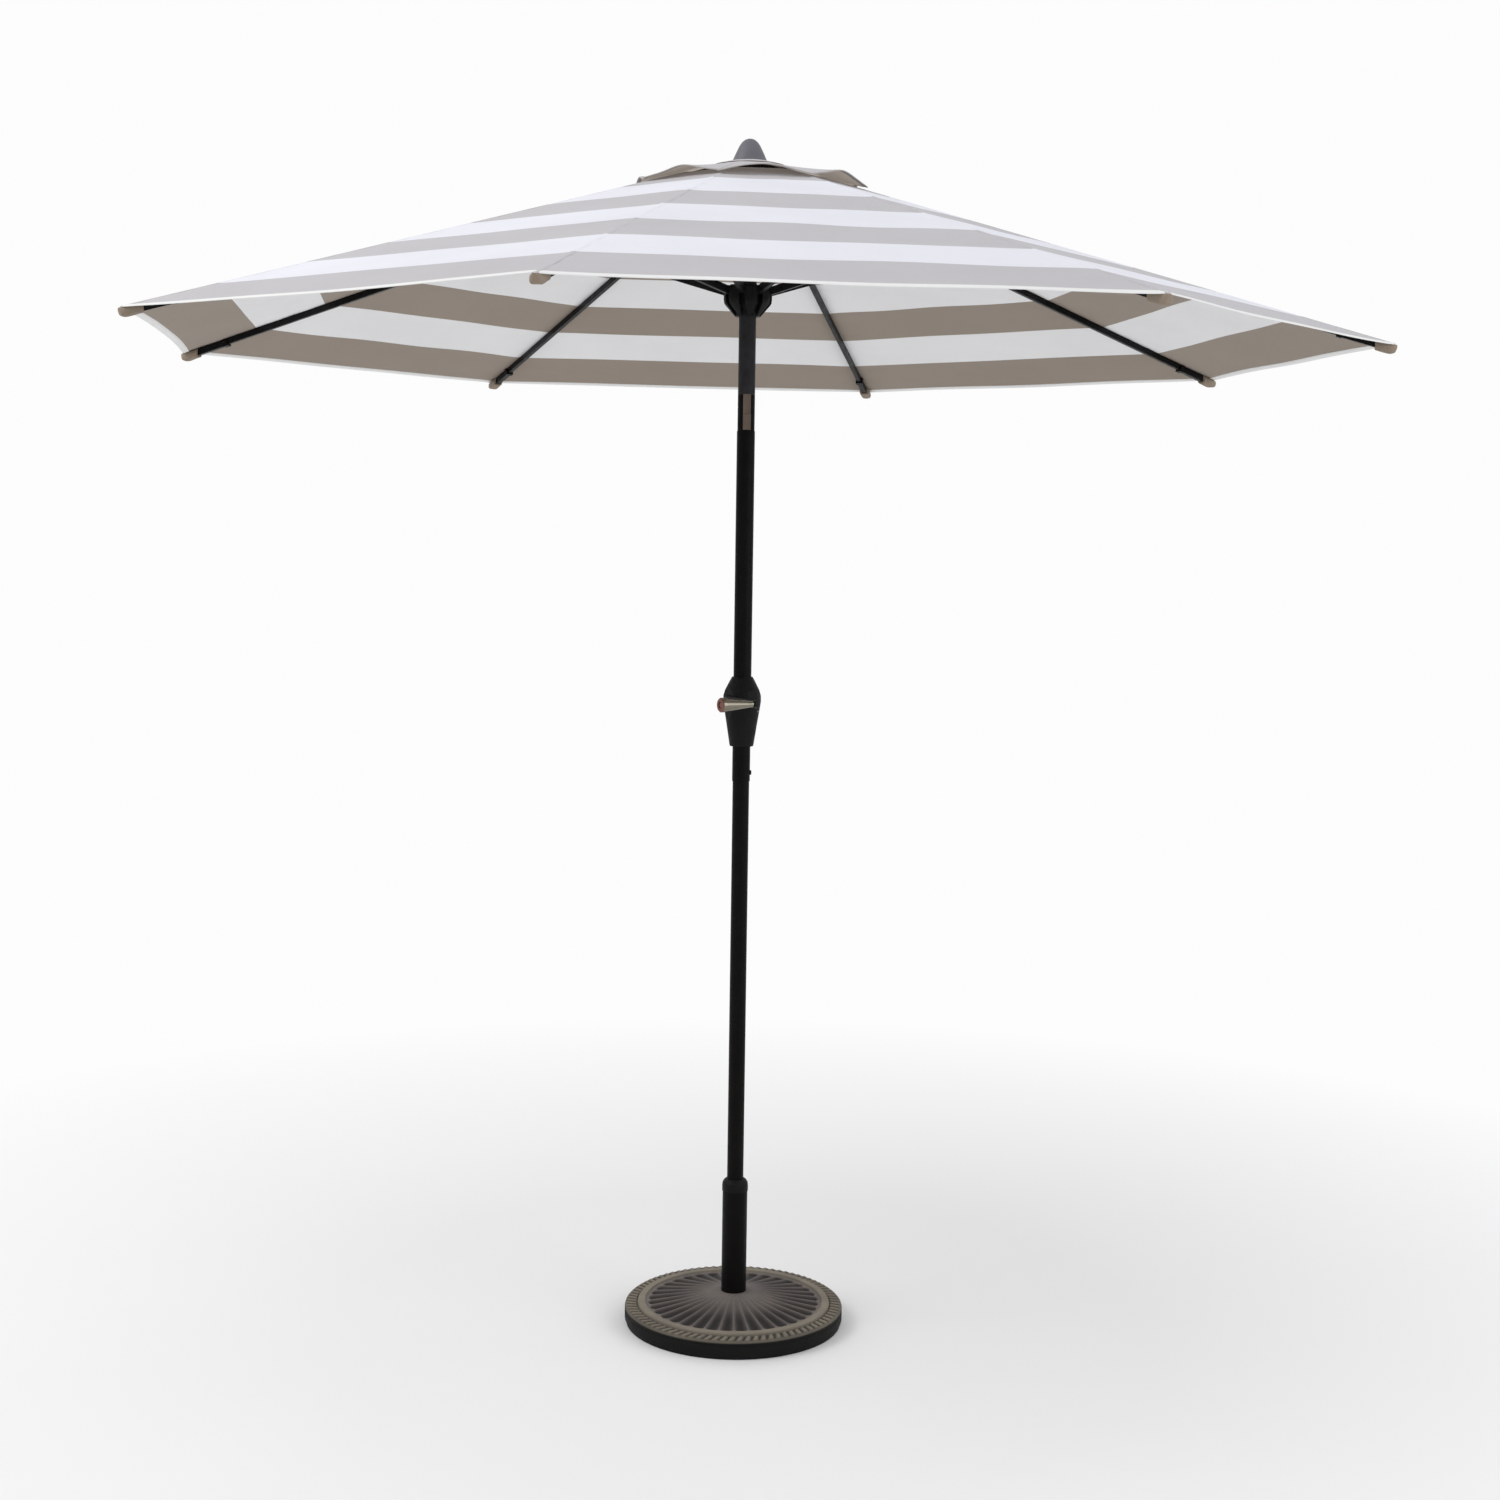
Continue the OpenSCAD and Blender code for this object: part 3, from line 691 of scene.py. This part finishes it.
def make_seam(n):
    """The lapped seam over rib n, with the stripes running across it."""
    turn = rib_turn(n)
    rows = gore_rows()
    roll = atan2(tan(HALF) * sin(SLOPE), 1)
    half = SEAM_W / 2
    section = [
        (-half, 0.0002),
        (-half * 0.5, 0.0009),
        (half * 0.5, 0.0009),
        (half, 0.0002),
        (half, -0.0004),
        (-half, -0.0004),
    ]
    rings, uvs = [], []
    for d in rows:
        r = (d + EAR * near_hem(d)) / cos(HALF)
        centre = facing(turn) * r + Vector((0, 0, seam_z(r)))
        ring = []
        for side, up in section:
            ring.append(centre + across(turn) * side + Vector((0, 0, up - abs(side) * tan(roll))))
        rings.append(ring)
        uvs.append([(side, d / cos(SLOPE)) for side, up in section])
    seam = sweep(f"seam_{n}", rings, uvs)
    use_slots(seam, [TAUPE, WHITE])
    for index, face in enumerate(seam.data.polygons):
        row = min(index // len(section), len(rows) - 2)
        face.material_index = stripe_at((rows[row] + rows[row + 1]) / 2)
    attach(seam, f"rib_{n}")


def squared(x):
    """A sine or cosine drawn out towards 1 and -1, for a rounded square in place of a circle."""
    return np.sign(x) * abs(x) ** 0.7


def pocket_ring(turn, s, wobble, columns):
    """One loop of a corner pocket: s from 0 at its closed end to 1 at its mouth."""
    r = (HEM_D + EAR) / cos(HALF) + POCKET_OUT - POCKET_LEN * s
    roll = tan(HALF) * sin(SLOPE)
    # The closed end is a blunt tip that swells in a quarter round
    swell = sqrt(max(0.0, 1 - (1 - min(1.0, s * 2.4)) ** 2))
    width = POCKET_W * (0.3 + 0.7 * swell) * (1 + 0.05 * wobble[0] * s)
    drop = POCKET_DROP * (0.28 + 0.72 * swell) * (1 + 0.06 * wobble[1])
    ring = []
    for j in range(columns):
        a = 2 * pi * j / columns
        side = width / 2 * squared(cos(a))
        down = -0.5 + 0.5 * squared(sin(a))
        z = seam_z(r) - POCKET_UNDER - abs(side) * roll + down * drop
        # Creases that wind round the pocket
        z += 0.0004 * sin(3 * a + 5 * wobble[2] + 6 * s)
        point = facing(turn) * r + across(turn) * side
        ring.append(Vector((point.x, point.y, z)))
    return ring


def make_pocket(n):
    """The cloth pocket at a corner that rib n's end slips into."""
    rows, columns = 15, 17
    wobble = draws.uniform(-1, 1, 3)
    rings, uvs = [], []
    for i in range(rows):
        rings.append(pocket_ring(rib_turn(n), i / (rows - 1), wobble, columns))
        uvs.append([(POCKET_W * j / columns, POCKET_LEN * i / rows + 0.01) for j in range(columns)])
    pocket = sweep(f"corner_pocket_{n}", rings, uvs)
    use_slots(pocket, [POCKET_SHADED])
    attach(pocket, f"rib_{n}")


# ---- Vent cover ----

CROWN_R = 0.078
CROWN_HOLE_R = 0.010
# How far the crown stands above the cover, and how much it dips over the ribs near its middle
CROWN_UP = 0.001
CROWN_DIP = 0.0004
# The cover lies this far under the CAD cover's top, level round the finial and sloping farther out
COVER_UNDER = 0.001
COVER_LEVEL_R = 1.2 * FINIAL_R
COVER_SLOPE = radians(15.0)
FLAP_INNER_R = 0.050
FLAP_HEM_W = 0.008
FLAP_COLUMNS = 33
# How high the wind lifts a flap's hem, and the slow and fast waves along it
PUFF = 0.0165
SLOW_WAVE = 0.0035
FAST_WAVE = 0.002


def cover_seam_z(r):
    """Height of the vent cover's upper surface over a rib."""
    return PEAK_Z - COVER_UNDER - max(0.0, r - COVER_LEVEL_R) * tan(COVER_SLOPE)


def flap_waves():
    """Random shape of one flap: lift, slow wave, fast wave and the fast wave's phase."""
    lift = draws.uniform(0.75, 1.25)
    slow = draws.uniform(-1, 1)
    fast = draws.uniform(0.3, 1)
    return lift, slow, fast, draws.uniform(0, 2 * pi)


def flap_lift(waves, s, t):
    """How far a flap stands above the straight cover; nothing over the ribs."""
    side = 2 * t - 1
    if abs(side) >= 1:
        return 0.0
    bow = cos(pi / 2 * side) ** 1.2
    lift = waves[0] * PUFF * s**1.7 * bow
    lift += waves[1] * SLOW_WAVE * s * s * sin(2 * pi * t) * bow
    return lift + waves[2] * FAST_WAVE * s * s * sin(4 * pi * t + waves[3])


def cover_point(n, waves, s, t):
    """Vent cover between ribs: s from 0 under the crown to 1 at the hem."""
    side = 2 * t - 1
    inner = FLAP_INNER_R * cos(HALF)
    d = inner + (COVER_R * cos(HALF) - inner) * s
    width = d * tan(HALF) - FLAP_GAP
    middle = rib_turn(n) + HALF
    point = facing(middle) * d + across(middle) * side * width
    return Vector((point.x, point.y, cover_seam_z(d / cos(HALF)) + flap_lift(waves, s, t)))


def make_flap(n, waves):
    """The vent cover's share between rib n and the next."""
    rows = 22

    def place(i, j):
        return cover_point(n, waves, i / (rows - 1), j / (FLAP_COLUMNS - 1))

    def uv(i, j):
        side = 2 * j / (FLAP_COLUMNS - 1) - 1
        d = COVER_R * (0.2 + 0.8 * i / (rows - 1))
        return (side * d * tan(HALF), d)

    flap = sheet(f"vent_flap_{n}", rows, FLAP_COLUMNS, place, uv)
    use_slots(flap, [TAUPE, FLAP_UNDER_LIT])
    thicken(flap, CLOTH, 1)
    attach(flap, f"rib_{n}")
    gather(flap, n)


def make_flap_hem(n, waves):
    """Taupe tape folded over a vent flap's outer edge."""
    section = [
        (-FLAP_HEM_W, 0.0004),
        (0.0004, 0.0006),
        (0.0012, -0.0005),
        (0.0004, -0.0017),
        (-FLAP_HEM_W, -0.0015),
    ]
    rings, uvs = [], []
    for j in range(FLAP_COLUMNS):
        t = j / (FLAP_COLUMNS - 1)
        edge = cover_point(n, waves, 1.0, t)
        inward = (cover_point(n, waves, 0.95, t) - edge).normalized()
        rings.append([edge - inward * out + Vector((0, 0, up)) for out, up in section])
        uvs.append([((t - 0.5) * COVER_R * 2 * tan(HALF), out + FLAP_HEM_W) for out, up in section])
    hem = sweep(f"vent_hem_{n}", rings, uvs)
    use_slots(hem, [TAPE])
    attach(hem, f"rib_{n}")
    gather(hem, n)


def make_crown():
    """The round patch that the finial clamps on the hub; it covers the flaps' inner edges."""
    rows, columns = 14, 97

    def place(i, j):
        r = CROWN_HOLE_R + (CROWN_R - CROWN_HOLE_R) * i / (rows - 1)
        turn = 2 * pi * j / (columns - 1)
        corner = abs(((turn / (2 * HALF)) % 1) - 0.5) * 2
        z = cover_seam_z(r) + CROWN_UP - CROWN_DIP * ease(1 - r / CROWN_R) * corner
        point = facing(turn) * r
        return Vector((point.x, point.y, z))

    def uv(i, j):
        p = place(i, j)
        return (p.x, p.y)

    crown = sheet("vent_crown", rows, columns, place, uv)
    use_slots(crown, [TAUPE, TAUPE_SHADED_UNDER])
    thicken(crown, 0.8 * CLOTH, 1)
    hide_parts("vent_cover")
    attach(crown, "top")


# ---- Base ----

FLUTES = 36
FLUTE_COLUMNS = 14
TEETH = 84
RIM_Z = 0.588 * BASE_TOP_Z
SOCKET_Z = 0.0142
NECK_R = 1.004 * TUBE_R
AXIS_R = 0.002
# Edges of the relief, as shares of the base's radius
FLUTE_START = 1.25 * TUBE_R / BASE_R
FLUTE_END = 0.79
RING_LOW, RING_HIGH = 0.805, 0.875
TEETH_LOW, TEETH_HIGH = 0.885, 0.972
# Heights of the relief
FLUTE_FOOT = 0.003
FLUTE_DEEP = 0.0052
RING_UP = 0.0052
TOOTH_UP = 0.0030
# The rim's outline as (share of the radius, height over RIM_Z), and how many of its rows are bronze
RIM = [
    (0.988, -0.0008),
    (0.996, -0.0028),
    (1.0, -0.006),
    (1.0, -0.0075),
    (0.9955, -0.0085),
    (0.9955, -0.0125),
    (1.0, -0.0135),
    (1.0, -0.020),
    (1.0, -0.030),
    (0.992, -0.0345),
]
RIM_PAINTED = 2

BRONZE = np.array((0.208, 0.183, 0.144))
SLATE = np.array((0.124, 0.108, 0.099))
# Painted shade laid into the flutes' hollows
HOLLOW_SHADE = np.array((0.022, 0.020, 0.021))
BAND = np.array((0.0055, 0.005, 0.0045))

# Rows on the upper side, closer where the relief is, as (from, to, how many) in shares of the base's radius
TOP_ROWS = [
    (1.02 * TUBE_R / BASE_R, 0.66, 22),
    (0.68, 0.80, 22),
    (0.803, 0.895, 20),
    (0.90, 0.978, 16),
]


def flute_top(f, a):
    """The fluted cone round the tube, hollowed between sharp ridges."""
    fall = min(1.0, max(0.0, (FLUTE_END - f) / (FLUTE_END - FLUTE_START)))
    z = RIM_Z + FLUTE_FOOT + (BASE_TOP_Z - RIM_Z - FLUTE_FOOT) * fall**1.1
    # 0 along a flute's middle and 1 on the ridge beside it
    local = abs((a * FLUTES / (2 * pi)) % 1 - 0.5) * 2
    hollow = 1 - local**2.6
    # Each flute ends in a round tip, and starts shallow beside the tube
    hollow *= ease((FLUTE_END - 0.03 * local**2 - f) / 0.022)
    hollow *= 0.25 + 0.75 * ease((f - FLUTE_START) / (0.7 * (FLUTE_END - FLUTE_START)))
    # Painted shade: the hollows darken, more so farther out, and the ridges are lighter
    shaded = 1 - 0.75 * hollow * ease((f - 0.22) / 0.4)
    tone = SLATE * (0.65 + 0.75 * (1 - hollow)) * shaded + HOLLOW_SHADE * hollow * 0.3
    return z - hollow * FLUTE_DEEP * ease((f - FLUTE_START) / 0.2), tone


def ring_top(f):
    """The plain raised ring round the flutes."""
    up = ease((f - RING_LOW) / 0.012) * (1 - ease((f - RING_HIGH) / 0.012))
    inner = 1 - ease((f - RING_LOW) / 0.02)
    # Painted shade: the ring is darker on its flanks than on its raised top
    return RIM_Z + 0.001 + RING_UP * up + 0.002 * inner, BRONZE * (0.8 + 0.3 * up)


def teeth_top(f, a):
    """The slanting teeth along the rim."""
    wave = 0.5 + 0.5 * cos(TEETH * (a + 0.35 * (f - TEETH_LOW)))
    inside = ease((f - TEETH_LOW) / 0.01) * (1 - ease((f - TEETH_HIGH) / 0.01))
    tooth = wave**0.7 * inside
    # Painted shade: the grooves between the teeth are much darker than the teeth
    return RIM_Z - 0.0005 + TOOTH_UP * tooth, BRONZE * (0.14 + 0.98 * tooth + 0.45 * (1 - inside))


def base_top(r, a):
    """Height and shade of the base's upper side at radius r and turn a."""
    f = r / BASE_R
    if f < RING_LOW:
        return flute_top(f, a)
    if f < TEETH_LOW:
        return ring_top(f)
    return teeth_top(f, a)


def top_radii():
    """Radii of the rows on the upper side, from the tube outward."""
    return [BASE_R * f for low, high, count in TOP_ROWS for f in np.linspace(low, high, count)]


def even(z, tone):
    """The outline of a row that has one height and shade all round."""
    return lambda a: (z, tone)


def base_rows():
    """Rows from the underside to the socket, as (radius, function from a turn to height and shade)."""
    radii = top_radii()
    rows = [(r, even(0.0, BAND)) for r in (AXIS_R, 0.5 * BASE_R, 0.985 * BASE_R)]
    for k, (f, dz) in reversed(list(enumerate(RIM))):
        tone = BRONZE * 0.6 if k < RIM_PAINTED else BAND
        rows.append((f * BASE_R, even(RIM_Z + dz, tone)))
    rows += [(r, lambda a, r=r: base_top(r, a)) for r in reversed(radii)]
    # Painted shade: a darker ring at the foot of the tube
    rows.append((NECK_R, lambda a: (base_top(radii[0], a)[0], SLATE * 0.5)))
    rows += [(r, even(SOCKET_Z, BAND)) for r in (NECK_R, AXIS_R)]
    return rows


def make_base():
    """The cast disc, with its colour and the painted shade of its relief set on the mesh."""
    columns = FLUTES * FLUTE_COLUMNS
    rings, tints = [], []
    for r, outline in base_rows():
        ring = []
        for j in range(columns):
            a = 2 * pi * j / columns
            height, tone = outline(a)
            ring.append(facing(a) * r + Vector((0, 0, height)))
            tints.append((*tone, 1.0))
        rings.append(ring)
    base = sweep("base_relief", rings)
    colours = base.data.attributes.new("tint", "FLOAT_COLOR", "POINT")
    colours.data.foreach_set("color", np.array(tints, np.float32).ravel())
    use_slots(base, [CAST])
    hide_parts("base_disc")
    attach(base, "base")


# ---- Runner ----

# The flank's outline as (radius, height over the runner's foot), from its inner top round to its inner foot
FLANK = [
    (0.024, 0.032),
    (0.0500, 0.032),
    (0.0495, 0.0275),
    (0.0470, 0.0235),
    (0.0275, 0.0012),
    (0.0262, 0.0),
    (0.024, 0.0),
]
SLOT_HALF = 0.0064


def make_runner_flanks():
    """The tapered foot of the runner, one flank between each two of its slots."""
    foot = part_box("runner")[0].z
    columns = 13
    for n in range(1, RIBS + 1):
        middle = rib_turn(n) + HALF
        rings = []
        for j in range(columns):
            share = 2 * j / (columns - 1) - 1
            turns = [middle + share * (HALF - asin(SLOT_HALF / r)) for r, z in FLANK]
            rings.append([facing(turn) * r + Vector((0, 0, foot + z)) for turn, (r, z) in zip(turns, FLANK)])
        flank = sweep(f"runner_flank_{n}", rings)
        use_slots(flank, [PLASTIC])
        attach(flank, "lift")


# ---- Cord ----

STRANDS = 3
# Height in which a strand goes once round
CORD_LAY = 0.012


def make_cord():
    """Strands twisted together, between the pulley and the runner."""
    x, y = (CORD_LOW.x + CORD_HIGH.x) / 2, (CORD_LOW.y + CORD_HIGH.y) / 2
    radius = (CORD_HIGH.x - CORD_LOW.x) / 2
    rows, columns = 150, 18
    rings = []
    for i in range(rows):
        z = CORD_LOW.z + (CORD_HIGH.z - CORD_LOW.z) * i / (rows - 1)
        ring = []
        for j in range(columns):
            a = 2 * pi * j / columns
            r = radius * (0.8 + 0.2 * abs(cos(STRANDS / 2 * (a + z * 2 * pi / CORD_LAY))))
            ring.append(Vector((x + r * cos(a), y + r * sin(a), z)))
        rings.append(ring)
    cord = sweep("lift_cord_twist", rings)
    use_slots(cord, [CORD])
    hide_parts("lift_cord_upper")
    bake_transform(cord)


# ---- Stage, light and camera ----

# The camera stands at this turn and distance from the pole, and looks along this heading, counted from +X
CAMERA_TURN = radians(59.33)
CAMERA_AWAY = 4.592
CAMERA_Z = 1.699
CAMERA_HEADING = radians(149.10)
CAMERA_DOWN = radians(5.55)
CAMERA_ROLL = radians(0.85)
CAMERA_LENS = 51.92
# Brightness of the backdrop, and the distances over which the floor fades into it
BACKDROP = 0.98
FLOOR_FADE = (0.9, 3.0)
# Height that the lamps are aimed at
AIM_Z = 1.6


def make_stage():
    """A pale floor that fades into the backdrop away from the base."""
    size = 60.0
    corners = [(-size, -size, 0), (size, -size, 0), (size, size, 0), (-size, size, 0)]
    floor = new_object("floor", corners, [(0, 1, 2, 3)])
    floor.location.z = -0.0005
    material, tree, shader = new_material("pale_floor")
    coords = object_coords(tree)
    patches = noise(tree, coords, 0.8, 4.0)
    shade = mix_colour(tree, patches, rgba((0.86, 0.86, 0.86)), rgba((0.90, 0.90, 0.90)))
    tree.links.new(shade, shader.inputs["Base Color"])
    shader.inputs["Roughness"].default_value = 0.9
    away = add(tree, "ShaderNodeVectorMath", {0: coords}, operation="LENGTH").outputs["Value"]
    seen = add(tree, "ShaderNodeLightPath").outputs["Is Camera Ray"]
    fade = calc(tree, "MULTIPLY", ramp(tree, away, 0.0, 1.0, *FLOOR_FADE), seen)
    glow = add(tree, "ShaderNodeEmission", {"Color": rgba((1.0, 1.0, 1.0)), "Strength": BACKDROP})
    mix = add(tree, "ShaderNodeMixShader", {0: fade, 1: shader.outputs[0], 2: glow.outputs[0]})
    output = next(node for node in tree.nodes if node.type == "OUTPUT_MATERIAL")
    tree.links.new(mix.outputs[0], output.inputs["Surface"])
    use_slots(floor, [material])


def make_world():
    world = bpy.data.worlds.new("studio")
    bpy.context.scene.world = world
    world.use_nodes = True
    tree = world.node_tree
    tree.nodes.clear()
    seen = add(tree, "ShaderNodeLightPath").outputs["Is Camera Ray"]
    light = add(tree, "ShaderNodeBackground", {"Color": rgba((0.98, 0.985, 1.0)), "Strength": 0.80})
    backdrop = add(tree, "ShaderNodeBackground", {"Color": rgba((1.0, 1.0, 1.0)), "Strength": BACKDROP})
    mix = add(tree, "ShaderNodeMixShader", {"Fac": seen})
    tree.links.new(light.outputs[0], mix.inputs[1])
    tree.links.new(backdrop.outputs[0], mix.inputs[2])
    output = add(tree, "ShaderNodeOutputWorld")
    tree.links.new(mix.outputs[0], output.inputs["Surface"])


def add_area(name, turn, away, z, size, power, colour):
    """A soft lamp aimed at the middle of the umbrella."""
    data = bpy.data.lights.new(name, "AREA")
    data.size = size
    data.energy = power
    data.color = colour
    lamp = bpy.data.objects.new(name, data)
    bpy.context.scene.collection.objects.link(lamp)
    lamp.location = facing(turn) * away + Vector((0, 0, z))
    aim = Vector((0, 0, AIM_Z)) - lamp.location
    lamp.rotation_euler = aim.to_track_quat("-Z", "Y").to_euler()


def make_lights():
    key_turn = CAMERA_TURN - radians(72)
    fill_turn = CAMERA_TURN + radians(60)
    add_area("key", key_turn, away=4.5, z=5.2, size=3.0, power=115.0, colour=(1.0, 0.99, 0.97))
    add_area("fill", fill_turn, away=5.0, z=2.6, size=3.5, power=60.0, colour=(0.97, 0.98, 1.0))


def make_camera():
    data = bpy.data.cameras.new("camera")
    data.lens = CAMERA_LENS
    camera = bpy.data.objects.new("camera", data)
    bpy.context.scene.collection.objects.link(camera)
    forward = Vector((cos(CAMERA_HEADING), sin(CAMERA_HEADING), -tan(CAMERA_DOWN))).normalized()
    sideways = Vector((sin(CAMERA_HEADING), -cos(CAMERA_HEADING), 0))
    upright = sideways.cross(forward)
    right = sideways * cos(CAMERA_ROLL) + upright * sin(CAMERA_ROLL)
    up = upright * cos(CAMERA_ROLL) - sideways * sin(CAMERA_ROLL)
    turned = Matrix((right, up, -forward)).transposed().to_4x4()
    place = facing(CAMERA_TURN) * CAMERA_AWAY + Vector((0, 0, CAMERA_Z))
    camera.matrix_world = Matrix.Translation(place) @ turned
    bpy.context.scene.camera = camera


# ---- The scene ----

bpy.context.scene.view_settings.view_transform = "Standard"
dress_cad_nodes()
for n in range(1, RIBS + 1):
    waves = gore_waves()
    make_gore(n, waves)
    make_hem(n, waves)
    make_seam(n)
    make_pocket(n)
    wind = flap_waves()
    make_flap(n, wind)
    make_flap_hem(n, wind)
make_crown()
make_base()
make_runner_flanks()
make_cord()
make_stage()
make_world()
make_lights()
make_camera()

bpy.context.view_layer.update()
